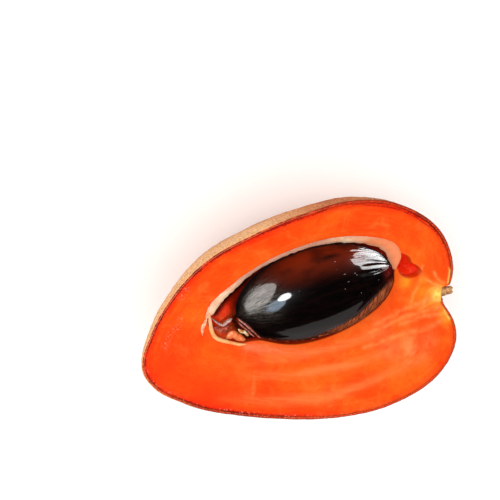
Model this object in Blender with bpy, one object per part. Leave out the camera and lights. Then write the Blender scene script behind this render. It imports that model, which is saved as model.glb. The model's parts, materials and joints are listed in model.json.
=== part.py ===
"""Half of a red-fleshed sapodilla, the mamey sapote, cut lengthwise and lying on its rounded back.

The pieces are the thin brown skin, the flesh with its seed cavity, the glossy seed, the pale membrane
that lines the upper edge of the cavity, and the woody stub of the stem.
+X runs from the pointed blossom end to the stem, +Z is up, and the cut face is level.
The origin is the middle of the small flat spot that the half rests on.
"""

import math

import bmesh
import bpy
import numpy as np
from mathutils import Vector

MM = 0.001
GAP = 0.3 * MM  # clearance left between pieces that touch on the real fruit

# The cut fruit: the outline of the skin on the cut face, as (direction in degrees, radius in mm).
CUT_HEIGHT = 47.0 * MM
FRUIT_DEPTH = 48.0 * MM  # from the cut to where the round back would end without its flat spot
FRUIT_OUTLINE = (
    (0, 64.8), (20, 64.6), (40, 58.9), (60, 51.6), (78, 46.0), (92, 44.4), (106, 44.5), (120, 46.7),
    (140, 53.5), (156, 60.0), (170, 66.8), (181, 72.0), (190, 69.4), (200, 62.3), (220, 51.0),
    (240, 45.8), (260, 45.5), (280, 49.2), (300, 56.8), (320, 65.7), (332, 67.7), (344, 65.8),
)
FRUIT_LENGTH_SHARE, FRUIT_WIDTH_SHARE = 68.0, 46.5  # spread the columns evenly round the outline
ROUND_BACK = 2.0  # exponent of the section: 2 is an ellipse, less is more pointed
POINTED_TIP = 1.82
TIP_DIRECTION = math.radians(181)
SKIN_THICKNESS = 1.0 * MM

# The dimple round the stem.
STEM_DIRECTION = math.radians(355)
DIMPLE_DIRECTION = math.radians(351.5)
DIMPLE_DEPTH = 7.0 * MM
DIMPLE_WIDTH = 8.5 * MM
DIMPLE_SHARPNESS = 1.7

# The seed lies a little above the cut, turned slightly from the fruit's length.
SEED_LENGTH = 67.2 * MM
SEED_DIAMETER = 36.8 * MM
SEED_CENTRE = Vector((3.3 * MM, 11.0 * MM, CUT_HEIGHT + 1.0 * MM))
SEED_TURN = math.radians(2)
# The rough scar along the seed's underside. Directions are about the seed's axis: 0 is +Y, 90 is up.
SCAR_DIRECTION = math.radians(165)
SCAR_TWIST = math.radians(-30)  # change of direction from the seed's middle to its stem end
SCAR_HALF_WIDTH = 12.5 * MM
SCAR_DROP = 0.45 * MM
SCAR_RIM_HEIGHT = 0.5 * MM
SCAR_RIM_WIDTH = 1.5 * MM
SCAR_EDGE_SOFTNESS = 0.4 * MM
SEED_STATIONS = 30
SEED_SIDES = 48

# The seed cavity: its rim on the cut face is an ellipse, times these shares by direction in degrees.
CAVITY_CENTRE = Vector((0, 11.0 * MM, 0))
CAVITY_HALF_LENGTH = 42.0 * MM
CAVITY_HALF_WIDTH = 20.5 * MM
CAVITY_SHARES = (
    (0, 0.915), (15, 1.02), (32, 1.09), (50, 1.075), (70, 1.045), (90, 0.98), (115, 0.93), (130, 0.94),
    (142, 0.955), (152, 0.967), (160, 0.982), (168, 1.0), (180, 1.005), (192, 1.02), (204, 1.042),
    (214, 1.03), (221, 0.985), (227, 0.91), (233, 0.882), (241, 0.912), (252, 0.98), (262, 1.03),
    (280, 1.042), (298, 1.015), (320, 0.975), (342, 0.93),
)
CAVITY_DEPTH = SEED_DIAMETER / 2 - (SEED_CENTRE.z - CUT_HEIGHT) + 0.6 * MM
CAVITY_FLOOR = math.radians(84)  # the wall stops this far round, and a small flat floor closes it
# Flesh left standing in the pointed end of the cavity, torn and then smooth: the middle of each ledge,
# how far it lifts the wall, its radius and the height it stops at, from the cut face. All in mm.
LEDGES = ((-33.5, 3.5, 5.0, 6.0, -3.2), (-35.5, 11.5, 6.0, 7.5, -4.5))

# The small empty seed pocket beside the cavity, as (direction in degrees, radius in mm).
POCKET_CENTRE = Vector((44.6 * MM, 10.2 * MM, 0))
POCKET_DEPTH = 6.5 * MM
# How the pocket narrows, as (share of the depth, share of the width).
POCKET_STEPS = ((-0.5, 1.04), (0.0, 1.0), (0.55, 0.88), (1.0, 0.45))
POCKET_SIDES = 40
POCKET_OUTLINE = (
    (0, 4.0), (35, 3.2), (60, 3.2), (82, 5.0), (104, 6.6), (128, 5.0), (160, 4.0), (200, 3.7),
    (240, 3.9), (270, 4.1), (303, 5.2), (324, 6.6), (338, 6.4),
)

# The membrane along the cavity's rim: direction, width of its lip and depth of its wall, in mm.
# It starts as a loose strand, passes the pointed end and stops at the hood over the seed's stem end.
MEMBRANE_THICKNESS = 0.8 * MM
MEMBRANE_SECTIONS = (
    (218, 1.4, 1.4), (210, 1.5, 1.6), (200, 1.6, 1.8), (186, 1.7, 2.2), (172, 2.4, 3.0), (158, 3.0, 3.3),
    (142, 2.8, 3.8), (125, 1.6, 5.6), (105, 1.2, 5.5), (88, 1.2, 5.0), (72, 1.7, 4.5), (56, 2.4, 4.0),
    (42, 3.2, 4.0), (30, 4.4, 4.0), (19, 4.4, 3.6), (9, 2.8, 2.6), (1, 0.9, 1.4),
)
MEMBRANE_LIFT = 0.5 * MM  # its outer edge stands this far above the cut face
MEMBRANE_SLOPE = 0.35  # the lip drops by this share of its width towards the seed
MEMBRANE_STEPS = 60

# The woody stub of the stem, sunk in the dimple.
STUB_RADIUS = 2.1 * MM
STUB_INNER_REACH = 56.5 * MM
STUB_OUTER_REACH = 63.4 * MM
STUB_AXIS_DROP = 1.6 * MM
STUB_TAPER = 0.12
STUB_FLUTES = 0.10  # how far its three ridges stand out, as a share of its radius
STUB_BROKEN_END = 0.5 * MM
STUB_ROWS = 6

SHARP_EDGE = math.radians(40)
COLUMNS = 100
BACK_ROWS = 12
CAVITY_ROWS = 9


def clear_scene():
    for item in list(bpy.data.objects):
        bpy.data.objects.remove(item)


def material(name, colour, roughness):
    made = bpy.data.materials.new(name)
    made.use_nodes = True
    shader = made.node_tree.nodes["Principled BSDF"]
    shader.inputs["Base Color"].default_value = (*colour, 1.0)
    shader.inputs["Roughness"].default_value = roughness
    shader.inputs["Metallic"].default_value = 0.0
    return made


def smooth_loop(knots, degrees):
    """Value at a direction on the smooth closed curve through the (degrees, value) knots."""
    at = [knot[0] for knot in knots]
    value = [knot[1] for knot in knots]
    count = len(knots)
    degrees = (degrees - at[0]) % 360 + at[0]
    i = max(k for k in range(count) if at[k] <= degrees)

    def knot(k):
        return at[k % count] + 360 * (k // count), value[k % count]

    (a0, v0), (a1, v1), (a2, v2), (a3, v3) = knot(i - 1), knot(i), knot(i + 1), knot(i + 2)
    slope_1 = (v2 - v0) / (a2 - a0)
    slope_2 = (v3 - v1) / (a3 - a1)
    span = a2 - a1
    u = (degrees - a1) / span
    return (
        (2 * u**3 - 3 * u**2 + 1) * v1
        + (u**3 - 2 * u**2 + u) * span * slope_1
        + (3 * u**2 - 2 * u**3) * v2
        + (u**3 - u**2) * span * slope_2
    )


def compass(direction):
    return Vector((math.cos(direction), math.sin(direction), 0))


def fruit_radius(direction):
    return smooth_loop(FRUIT_OUTLINE, math.degrees(direction)) * MM


def column_direction(turn):
    """Directions that crowd towards the fruit's ends, so that the columns are evenly spread."""
    return math.atan2(FRUIT_WIDTH_SHARE * math.sin(turn), FRUIT_LENGTH_SHARE * math.cos(turn))


def fruit_point(turn, level, inset):
    """A point of the rounded back, inset from the skin. Level 0 is the cut face and 1 the lowest point."""
    direction = column_direction(turn)
    heading = compass(direction)
    near_tip = max(0.0, math.cos(direction - TIP_DIRECTION)) ** 4
    exponent = ROUND_BACK + (POINTED_TIP - ROUND_BACK) * near_tip
    share = (1 - level**exponent) ** (1 / exponent)
    rim = fruit_radius(direction)
    outer = heading * rim * share + Vector((0, 0, -FRUIT_DEPTH * level))
    away = (outer - compass(DIMPLE_DIRECTION) * fruit_radius(DIMPLE_DIRECTION)).length / DIMPLE_WIDTH
    hollow = DIMPLE_DEPTH * math.exp(-(away**DIMPLE_SHARPNESS))
    return heading * ((rim - inset) * share - hollow) + Vector((0, 0, -(FRUIT_DEPTH - inset) * level))


def back_rings(inset, flat_height):
    """Rings from the cut face down to the flat spot, which is flat_height above the table."""
    lowest = (CUT_HEIGHT - flat_height) / (FRUIT_DEPTH - inset)
    rings = []
    for row in range(BACK_ROWS + 1):
        level = math.sin(math.asin(lowest) * row / BACK_ROWS)
        rings.append([fruit_point(2 * math.pi * c / COLUMNS, level, inset) for c in range(COLUMNS)])
    return rings


def cavity_point(turn, level):
    """A point of the cavity's wall. Level 0 is its rim and 1 its floor."""
    share = smooth_loop(CAVITY_SHARES, math.degrees(turn)) * math.sqrt(1 - level**2)
    x = CAVITY_HALF_LENGTH * share * math.cos(turn)
    y = CAVITY_HALF_WIDTH * share * math.sin(turn)
    return CAVITY_CENTRE + Vector((x, y, -CAVITY_DEPTH * level))


def on_ledge(point):
    """Lifts a point of the cavity's wall where flesh is left standing."""
    height = point.z
    for x, y, lift, radius, top in LEDGES:
        away = math.hypot(point.x - x * MM, point.y - y * MM) / (radius * MM)
        lifted = point.z + lift * MM * math.exp(-(away**2))
        height = max(height, min(lifted, top * MM))
    return Vector((point.x, point.y, height))


def loft(name, rings):
    """A closed mesh through rings of equal length, with a cap at each end.

    Every four-sided patch is split along its shorter diagonal, so that neighbouring pieces split alike.
    """
    mesh = bmesh.new()
    rows = [[mesh.verts.new(point) for point in ring] for ring in rings]
    count = len(rows[0])
    for upper, lower in zip(rows, rows[1:]):
        for c in range(count):
            n = (c + 1) % count
            across = (upper[c].co - lower[n].co).length
            back = (upper[n].co - lower[c].co).length
            if across <= back:
                mesh.faces.new((upper[c], upper[n], lower[n]))
                mesh.faces.new((upper[c], lower[n], lower[c]))
            else:
                mesh.faces.new((upper[c], upper[n], lower[c]))
                mesh.faces.new((upper[n], lower[n], lower[c]))
    mesh.faces.new(rows[0][::-1])
    mesh.faces.new(rows[-1])
    bmesh.ops.recalc_face_normals(mesh, faces=mesh.faces)
    data = bpy.data.meshes.new(name)
    mesh.to_mesh(data)
    mesh.free()
    return data


def place(name, data, look, location=(0, 0, 0), turn=0.0):
    piece = bpy.data.objects.new(name, data)
    bpy.context.scene.collection.objects.link(piece)
    piece.location = location
    piece.rotation_euler = (0, 0, turn)
    data.materials.append(look)
    data.shade_smooth()
    data.set_sharp_from_angle(angle=SHARP_EDGE)
    return piece


def cut(piece, cutter):
    """Takes the cutter's shape out of the piece. The cutter stays in the file as a guide."""
    cutter.hide_render = True
    cutter.display_type = "WIRE"
    boolean = piece.modifiers.new("cut_" + cutter.name, "BOOLEAN")
    boolean.operation = "DIFFERENCE"
    boolean.object = cutter
    boolean.solver = "EXACT"


def make_skin(look):
    outside = back_rings(0.0, 0.0)
    inside = back_rings(SKIN_THICKNESS, SKIN_THICKNESS)
    return place("skin", loft("skin", outside[::-1] + inside), look, (0, 0, CUT_HEIGHT))


def make_flesh(look):
    inset = SKIN_THICKNESS + GAP
    outside = back_rings(inset, inset)
    cavity = []
    for row in range(CAVITY_ROWS + 1):
        level = math.sin(CAVITY_FLOOR * row / CAVITY_ROWS)
        cavity.append([on_ledge(cavity_point(2 * math.pi * c / COLUMNS, level)) for c in range(COLUMNS)])
    return place("flesh", loft("flesh", outside[::-1] + cavity), look, (0, 0, CUT_HEIGHT))


def make_pocket_cutter(look):
    """A tapering plug with the pocket's outline, standing out above the cut face."""
    rings = []
    for depth, width in POCKET_STEPS:
        ring = []
        for c in range(POCKET_SIDES):
            turn = 2 * math.pi * c / POCKET_SIDES
            radius = smooth_loop(POCKET_OUTLINE, math.degrees(turn)) * MM * width
            ring.append(POCKET_CENTRE + compass(turn) * radius + Vector((0, 0, -POCKET_DEPTH * depth)))
        rings.append(ring)
    return place("pocket_cutter", loft("pocket_cutter", rings), look, (0, 0, CUT_HEIGHT))


def peg(name, look, radius, start, end, sides, uneven):
    """A tapering peg that points out along the stem. Uneven 1 gives it ridges and a broken end."""
    rings = []
    for row in range(STUB_ROWS + 1):
        along = row / STUB_ROWS
        ring = []
        for s in range(sides):
            turn = 2 * math.pi * s / sides
            ridge = 1 + uneven * STUB_FLUTES * math.sin(3 * turn + 5 * along)
            wide = radius * (1 - STUB_TAPER * along) * ridge
            broken = uneven * STUB_BROKEN_END * math.sin(2 * turn + 1) * along**4
            reach = start + (end - start) * along + broken
            ring.append((reach, wide * math.cos(turn), wide * math.sin(turn)))
        rings.append(ring)
    return place(name, loft(name, rings), look, (0, 0, CUT_HEIGHT - STUB_AXIS_DROP), STEM_DIRECTION)


def make_stub(look):
    return peg("stem_stub", look, STUB_RADIUS, STUB_INNER_REACH, STUB_OUTER_REACH, 16, 1.0)


def make_stub_cutter(look):
    """A plain peg for the stub's socket, wide enough for its ridges and longer than the stub."""
    radius = STUB_RADIUS * (1 + STUB_FLUTES) / (1 - STUB_TAPER) + GAP
    return peg("stub_cutter", look, radius, STUB_INNER_REACH - GAP, STUB_OUTER_REACH + 8 * MM, 24, 0.0)


def seed_point(along, turn):
    """A point of the seed. Along runs from -1 at the blossom end to 1, and turn is about its axis."""
    radius = SEED_DIAMETER / 2 * math.sqrt(1 - along**2)
    middle = SCAR_DIRECTION + SCAR_TWIST * along
    off_scar = abs((turn - middle + math.pi) % (2 * math.pi) - math.pi) * radius
    edge = SCAR_HALF_WIDTH * (1 - abs(along) ** 6)
    inside = 1 / (1 + math.exp((off_scar - edge) / SCAR_EDGE_SOFTNESS))
    rim = math.exp(-(((off_scar - edge) / SCAR_RIM_WIDTH) ** 2)) * (1 - along**8)
    radius += SCAR_RIM_HEIGHT * rim - SCAR_DROP * inside
    return Vector((SEED_LENGTH / 2 * along, radius * math.cos(turn), radius * math.sin(turn)))


def make_seed(look):
    rings = []
    for row in range(1, SEED_STATIONS):
        along = -math.cos(math.pi * row / SEED_STATIONS)
        rings.append([seed_point(along, 2 * math.pi * s / SEED_SIDES) for s in range(SEED_SIDES)])
    return place("seed", loft("seed", rings), look, SEED_CENTRE, SEED_TURN)


def off_wall(turn, depth, inset, lift):
    """A point at a depth of the cavity's wall, moved towards the cavity's middle and up."""
    point = cavity_point(turn, depth / CAVITY_DEPTH)
    inward = (CAVITY_CENTRE - point) * Vector((1, 1, 0))
    return point + inward.normalized() * inset + Vector((0, 0, lift))


def membrane_ring(turn, lip, wall):
    """One section of the membrane: a sloping lip, and a wall down into the cavity."""
    thick = MEMBRANE_THICKNESS
    top_lift = MEMBRANE_LIFT
    edge_lift = MEMBRANE_LIFT - MEMBRANE_SLOPE * lip
    corner_lift = MEMBRANE_LIFT - MEMBRANE_SLOPE * thick - thick
    foot = 1.5 * GAP
    return [
        off_wall(turn, 0, GAP, top_lift),
        off_wall(turn, 0, GAP + lip, edge_lift),
        off_wall(turn, 0, GAP + lip, edge_lift - thick),
        off_wall(turn, 0, GAP + thick, corner_lift),
        off_wall(turn, wall, foot + thick, 0),
        off_wall(turn, wall, foot, 0),
    ]


def make_membrane(look):
    directions, lips, walls = np.array(MEMBRANE_SECTIONS)[::-1].T
    rings = []
    for degrees in np.linspace(directions[-1], directions[0], MEMBRANE_STEPS + 1):
        lip = float(np.interp(degrees, directions, lips)) * MM
        wall = float(np.interp(degrees, directions, walls)) * MM
        rings.append(membrane_ring(math.radians(degrees), lip, wall))
    return place("membrane", loft("membrane", rings), look, (0, 0, CUT_HEIGHT))


def main():
    clear_scene()
    looks = {
        "skin": material("skin", (0.42, 0.17, 0.06), 0.85),
        "flesh": material("flesh", (0.90, 0.10, 0.015), 0.35),
        "seed": material("seed", (0.035, 0.010, 0.006), 0.12),
        "membrane": material("membrane", (0.80, 0.42, 0.24), 0.45),
        "stem": material("stem", (0.50, 0.28, 0.13), 0.80),
        "guide": material("guide", (0.5, 0.5, 0.5), 0.5),
    }
    skin = make_skin(looks["skin"])
    flesh = make_flesh(looks["flesh"])
    make_seed(looks["seed"])
    make_membrane(looks["membrane"])
    make_stub(looks["stem"])
    pocket = make_pocket_cutter(looks["guide"])
    socket = make_stub_cutter(looks["guide"])
    cut(flesh, pocket)
    cut(flesh, socket)
    cut(skin, socket)


main()
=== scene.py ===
"""Looks of half a red-fleshed sapodilla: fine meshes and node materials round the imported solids.

Shapes are worked out in millimetres from the named values below, with z measured from the cut face, and
become metres in the row frame when a mesh is made.
"""

import itertools
import json
import math
from types import SimpleNamespace

import bpy
import numpy as np
from mathutils import Matrix, Quaternion, Vector

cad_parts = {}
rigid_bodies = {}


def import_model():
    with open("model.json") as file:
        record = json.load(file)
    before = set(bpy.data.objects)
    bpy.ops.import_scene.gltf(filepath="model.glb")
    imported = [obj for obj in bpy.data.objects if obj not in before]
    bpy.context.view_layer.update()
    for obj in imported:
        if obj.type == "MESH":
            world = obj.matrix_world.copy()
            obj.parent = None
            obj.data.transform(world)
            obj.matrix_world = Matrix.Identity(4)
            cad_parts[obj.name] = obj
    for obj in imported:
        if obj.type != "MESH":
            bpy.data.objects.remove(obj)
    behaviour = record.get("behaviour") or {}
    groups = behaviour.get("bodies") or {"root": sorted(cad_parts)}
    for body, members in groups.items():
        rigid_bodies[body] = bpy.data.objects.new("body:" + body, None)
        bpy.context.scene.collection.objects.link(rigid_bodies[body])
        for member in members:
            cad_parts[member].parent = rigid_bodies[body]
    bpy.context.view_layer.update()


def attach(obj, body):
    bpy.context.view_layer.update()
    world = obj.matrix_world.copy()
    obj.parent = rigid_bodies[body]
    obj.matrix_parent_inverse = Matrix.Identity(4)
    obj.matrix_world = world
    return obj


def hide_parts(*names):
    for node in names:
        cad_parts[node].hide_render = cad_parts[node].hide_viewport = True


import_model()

MM = 0.001
CUT_HEIGHT = 47.0

# The cut fruit, as in the solids: outline of the cut face as (direction in degrees, radius).
FRUIT_DEPTH = 48.0
FRUIT_OUTLINE = (
    (0, 64.8), (20, 64.6), (40, 58.9), (60, 51.6), (78, 46.0), (92, 44.4), (106, 44.5), (120, 46.7),
    (140, 53.5), (156, 60.0), (170, 66.8), (181, 72.0), (190, 69.4), (200, 62.3), (220, 51.0),
    (240, 45.8), (260, 45.5), (280, 49.2), (300, 56.8), (320, 65.7), (332, 67.7), (344, 65.8),
)
FRUIT_LENGTH_SHARE, FRUIT_WIDTH_SHARE = 68.0, 46.5
ROUND_BACK = 2.0
POINTED_TIP = 1.82
TIP_DIRECTION = math.radians(181)
SKIN_THICKNESS = 1.0
FLESH_OVERLAP = 0.1  # how far the fine flesh reaches into the fine skin
FLESH_FLAT_HEIGHT = 1.3
STEM_DIRECTION = math.radians(355)
DIMPLE_DIRECTION = math.radians(351.5)
DIMPLE_DEPTH = 7.0
DIMPLE_WIDTH = 8.5
DIMPLE_SHARPNESS = 1.7
DIMPLE_MARKS_INSET = 5.0  # the middle of the marks on the skin round the dimple
WRINKLE_REACH = 9.0
OLIVE_REACH = 26.0
CORK_REACH = 5.0

# The seed and the scar along its underside.
SEED_HALF_LENGTH = 33.6
SEED_RADIUS = 18.4
SEED_CENTRE = np.array((3.3, 11.0, 1.0))
SEED_TURN = math.radians(2)
SCAR_DIRECTION = math.radians(165)
SCAR_TWIST = math.radians(-30)
SCAR_HALF_WIDTH = 12.5
SCAR_DROP = 0.45
SCAR_RIM_HEIGHT = 0.5
SCAR_RIM_WIDTH = 1.5
SCAR_EDGE_SOFTNESS = 0.4
SCAR_ROUGHNESS = 0.18
RIB_HEIGHT = 0.09
RIB_SPACING = 1.15
RIB_SLANT = 0.35
CREASE_DEPTH = 0.60
MAIN_CREASE_DEPTH = 0.55
SCAR_DARK_SHOULDER = 1.7  # how far the dark colour reaches over the scar's rim at the stem end

# The seed cavity, the torn flesh in its pointed end and the small empty pocket beside it.
CAVITY_CENTRE = np.array((0, 11.0, 0))
CAVITY_HALF_LENGTH = 42.0
CAVITY_HALF_WIDTH = 20.5
CAVITY_SHARES = (
    (0, 0.915), (15, 1.02), (32, 1.09), (50, 1.075), (70, 1.045), (90, 0.98), (115, 0.925), (130, 0.912),
    (142, 0.918), (151, 0.95), (160, 0.98), (168, 1.0), (180, 1.005), (192, 1.02), (204, 1.042),
    (214, 1.03), (221, 0.985), (227, 0.91), (233, 0.882), (241, 0.912), (252, 0.98), (262, 1.03),
    (280, 1.042), (298, 1.015), (320, 0.975), (342, 0.93),
)
CAVITY_DEPTH = 18.0
CAVITY_FLOOR = math.radians(84)
# Flesh left standing in the cavity's pointed end, torn and then smooth: x, y, lift, radius, top.
LEDGES = ((-33.5, 3.5, 5.0, 6.0, -3.2), (-33.0, 11.5, 7.5, 6.5, -4.8))
POCKET_CENTRE = (43.6, 10.6)
POCKET_DEPTH = 6.5
POCKET_OUTLINE = (
    (11, 3.3), (40, 3.0), (62, 4.2), (88, 5.5), (104, 6.6), (124, 5.4), (154, 4.3), (192, 3.5),
    (245, 4.1), (282, 5.2), (313, 6.5), (331, 6.9), (344, 5.5),
)

# The membrane: direction, width of its lip and depth of its wall.
MEMBRANE_SECTIONS = (
    (176, 1.6, 2.6), (172, 2.8, 3.0), (165, 3.7, 3.2), (158, 3.9, 3.3), (150, 3.7, 3.6), (142, 2.7, 3.8),
    (130, 1.8, 5.2), (115, 1.3, 5.5), (88, 1.2, 5.0), (72, 1.8, 4.5), (56, 2.8, 4.0), (42, 3.9, 4.0),
    (30, 5.1, 4.0), (19, 4.9, 3.6), (9, 3.0, 2.6), (1, 0.9, 1.4),
)
MEMBRANE_THICKNESS = 0.7
MEMBRANE_LIFT = 0.45
MEMBRANE_SLOPE = 0.35
MEMBRANE_GAP = 0.3

# The woody stub of the stem.
STUB_RADIUS = 2.1
STUB_INNER_REACH = 56.5
STUB_OUTER_REACH = 63.4
STUB_AXIS_DROP = 1.6
STUB_HIDDEN = 1.0  # the flesh grows over this much of its inner end
STEM_SIDE = STEM_DIRECTION + math.pi / 2

# The relief of the cut face never stands higher than this, inside the space of the solids.
RELIEF_TOP = 0.35

COLUMNS = 640  # of the flesh and skin grids
BACK_ROWS = 12
FACE_ROWS = 104
CAVITY_ROWS = 30
FIRST_FACE_ROW = BACK_ROWS - 1
FIRST_WALL_ROW = BACK_ROWS + FACE_ROWS - 1
SKIN_ROWS = 112
SKIN_RING_ROWS = 7
SKIN_INNER_ROWS = 14
RIM_SHRINK = 0.999  # keeps the rough skin inside the solids' box

# Share of each surface colour that is used, because the studio light is that much stronger.
LIGHT_SHARE = 0.84

# Camera: where it stands, the way back to it from what it sees, and its right-hand side.
CAMERA_PLACE = (-0.10823, 0.19485, 0.47618)
CAMERA_BACK = (-0.18990, 0.34148, 0.92050)
CAMERA_RIGHT = (0.94883, -0.17712, 0.26145)
CAMERA_LENS = 85.0
CAMERA_SENSOR = 36.0

LATTICE = np.random.default_rng(11).uniform(-1, 1, (64, 64, 64))


def smooth_loop(knots, degrees):
    """Values at directions on the smooth closed curve through the (degrees, value) knots."""
    at, value = np.array(knots, float).T
    count = len(at)
    at = np.concatenate((at - 360, at, at + 360))
    value = np.tile(value, 3)
    degrees = (np.asarray(degrees, float) - at[count]) % 360 + at[count]
    i = np.searchsorted(at, degrees, side="right") - 1
    span = at[i + 1] - at[i]
    slope_1 = (value[i + 1] - value[i - 1]) / (at[i + 1] - at[i - 1])
    slope_2 = (value[i + 2] - value[i]) / (at[i + 2] - at[i])
    u = (degrees - at[i]) / span
    return (
        (2 * u**3 - 3 * u**2 + 1) * value[i]
        + (u**3 - 2 * u**2 + u) * span * slope_1
        + (3 * u**2 - 2 * u**3) * value[i + 1]
        + (u**3 - u**2) * span * slope_2
    )


def noise(points, size, seed=0):
    """Smooth noise from -1 to 1 with lumps about size across."""
    place = points / size + seed * 7.31
    cell = np.floor(place).astype(int)
    part = place - cell
    part = part * part * (3 - 2 * part)
    total = np.zeros(points.shape[:-1])
    for corner in itertools.product((0, 1), repeat=3):
        share = np.prod(np.where(corner, part, 1 - part), axis=-1)
        i = (cell + corner) % len(LATTICE)
        total += share * LATTICE[i[..., 0], i[..., 1], i[..., 2]]
    return total


def rough_noise(points, size, octaves, seed=0):
    """Noise with finer and weaker lumps on top of the large ones."""
    total = np.zeros(points.shape[:-1])
    for octave in range(octaves):
        total += noise(points, size / 2**octave, seed + octave) / 2**octave
    return total


def step(low, high, value):
    """0 below low, 1 above high and smooth between. It also falls when high is below low."""
    u = np.clip((value - low) / (high - low), 0, 1)
    return u * u * (3 - 2 * u)


def bell(distance, width):
    return np.exp(-((distance / width) ** 2))


def path_distance(points, path):
    """Distance of each point from a line through the path, in the plane of the cut, and how far along."""
    flat = points[..., :2]
    best = np.full(flat.shape[:-1], 1e9)
    along = np.zeros(flat.shape[:-1])
    corners = np.array(path, float)
    for k, (start, end) in enumerate(zip(corners, corners[1:])):
        run = end - start
        u = np.clip(((flat - start) @ run) / (run @ run), 0, 1)
        away = np.linalg.norm(flat - start - u[..., None] * run, axis=-1)
        nearer = away < best
        best = np.where(nearer, away, best)
        along = np.where(nearer, (k + u) / (len(corners) - 1), along)
    return best, along


def smooth_path(knots, count):
    """Evenly numbered points of a smooth open curve through the knots."""
    knots = np.array(knots, float)
    ends = np.concatenate((2 * knots[:1] - knots[1:2], knots, 2 * knots[-1:] - knots[-2:-1]))
    at = np.linspace(0, len(knots) - 1, count)
    i = np.minimum(at.astype(int), len(knots) - 2)
    u = (at - i)[:, None]
    a, b, c, d = (ends[i + k] for k in range(4))
    return 0.5 * (2 * b + (c - a) * u + (2 * a - 5 * b + 4 * c - d) * u**2 + (3 * b - a - 3 * c + d) * u**3)


def unit(vectors):
    return vectors / np.maximum(np.linalg.norm(vectors, axis=-1, keepdims=True), 1e-9)


def stacked(x, y, z):
    """Points from arrays or single numbers of their coordinates."""
    return np.stack(np.broadcast_arrays(x, y, z), axis=-1)


def compass(direction):
    return stacked(np.cos(direction), np.sin(direction), 0.0)


def blank(grid):
    return np.zeros(grid.shape[:2])


def grid_normals(grid):
    """Normals of a grid whose columns close into rings."""
    across = np.roll(grid, -1, axis=1) - np.roll(grid, 1, axis=1)
    down = np.gradient(grid, axis=0)
    return unit(np.cross(down, across))


def outward_normals(grid, row):
    """Normals that point out of a piece whose rings run round +Z, as told by a row of its back."""
    normals = grid_normals(grid)
    return normals * np.sign((normals[row] * grid[row] * np.array((1, 1, 0))).sum())


def make_mesh(name, grid, look, attributes=None, sharp=180.0):
    """A closed piece from a grid of rings in millimetres, with a cap fanned from the middle of each end."""
    rows, columns = grid.shape[:2]
    middles = np.stack((grid[0].mean(axis=0), grid[-1].mean(axis=0)))
    points = np.concatenate((grid.reshape(-1, 3), middles)) + np.array((0, 0, CUT_HEIGHT))
    number = np.arange(rows * columns).reshape(rows, columns)
    a, b = number[:-1], np.roll(number[:-1], -1, axis=1)
    c, d = np.roll(number[1:], -1, axis=1), number[1:]
    quads = np.stack((a, b, c, d), axis=-1).reshape(-1, 4)
    faces = quads.tolist()
    first, last = rows * columns, rows * columns + 1
    faces += [(number[0, (k + 1) % columns], number[0, k], first) for k in range(columns)]
    faces += [(number[-1, k], number[-1, (k + 1) % columns], last) for k in range(columns)]
    mesh = bpy.data.meshes.new(name)
    mesh.from_pydata((points * MM).tolist(), [], faces)
    for title, values in (attributes or {}).items():
        values = np.broadcast_to(values, (rows, columns) + values.shape[2:])
        ends = np.stack((values[0].mean(axis=0), values[-1].mean(axis=0)))
        kind, field = ("FLOAT", "value") if values.ndim == 2 else ("FLOAT_VECTOR", "vector")
        layer = mesh.attributes.new(title, kind, "POINT")
        flat = np.concatenate((values.reshape((-1,) + values.shape[2:]), ends))
        layer.data.foreach_set(field, flat.astype(np.float32).ravel())
    mesh.update()
    first_corner, second, third = (points[quads[:, k]] for k in range(3))
    normals = np.cross(second - first_corner, third - first_corner)
    if np.sum(normals * (first_corner - points.mean(axis=0))) < 0:
        mesh.flip_normals()
    mesh.shade_smooth()
    if sharp < 180.0:
        mesh.set_sharp_from_angle(angle=math.radians(sharp))
    mesh.materials.append(look)
    piece = bpy.data.objects.new(name, mesh)
    bpy.context.scene.collection.objects.link(piece)
    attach(piece, "root")
    return piece


def linear(red, green, blue):
    """The linear surface colour that shows as these screen values from 0 to 255."""
    out = []
    for value in (red, green, blue):
        value = value / 255
        value = value / 12.92 if value <= 0.04045 else ((value + 0.055) / 1.055) ** 2.4
        out.append(LIGHT_SHARE * value)
    return (*out, 1.0)


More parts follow.
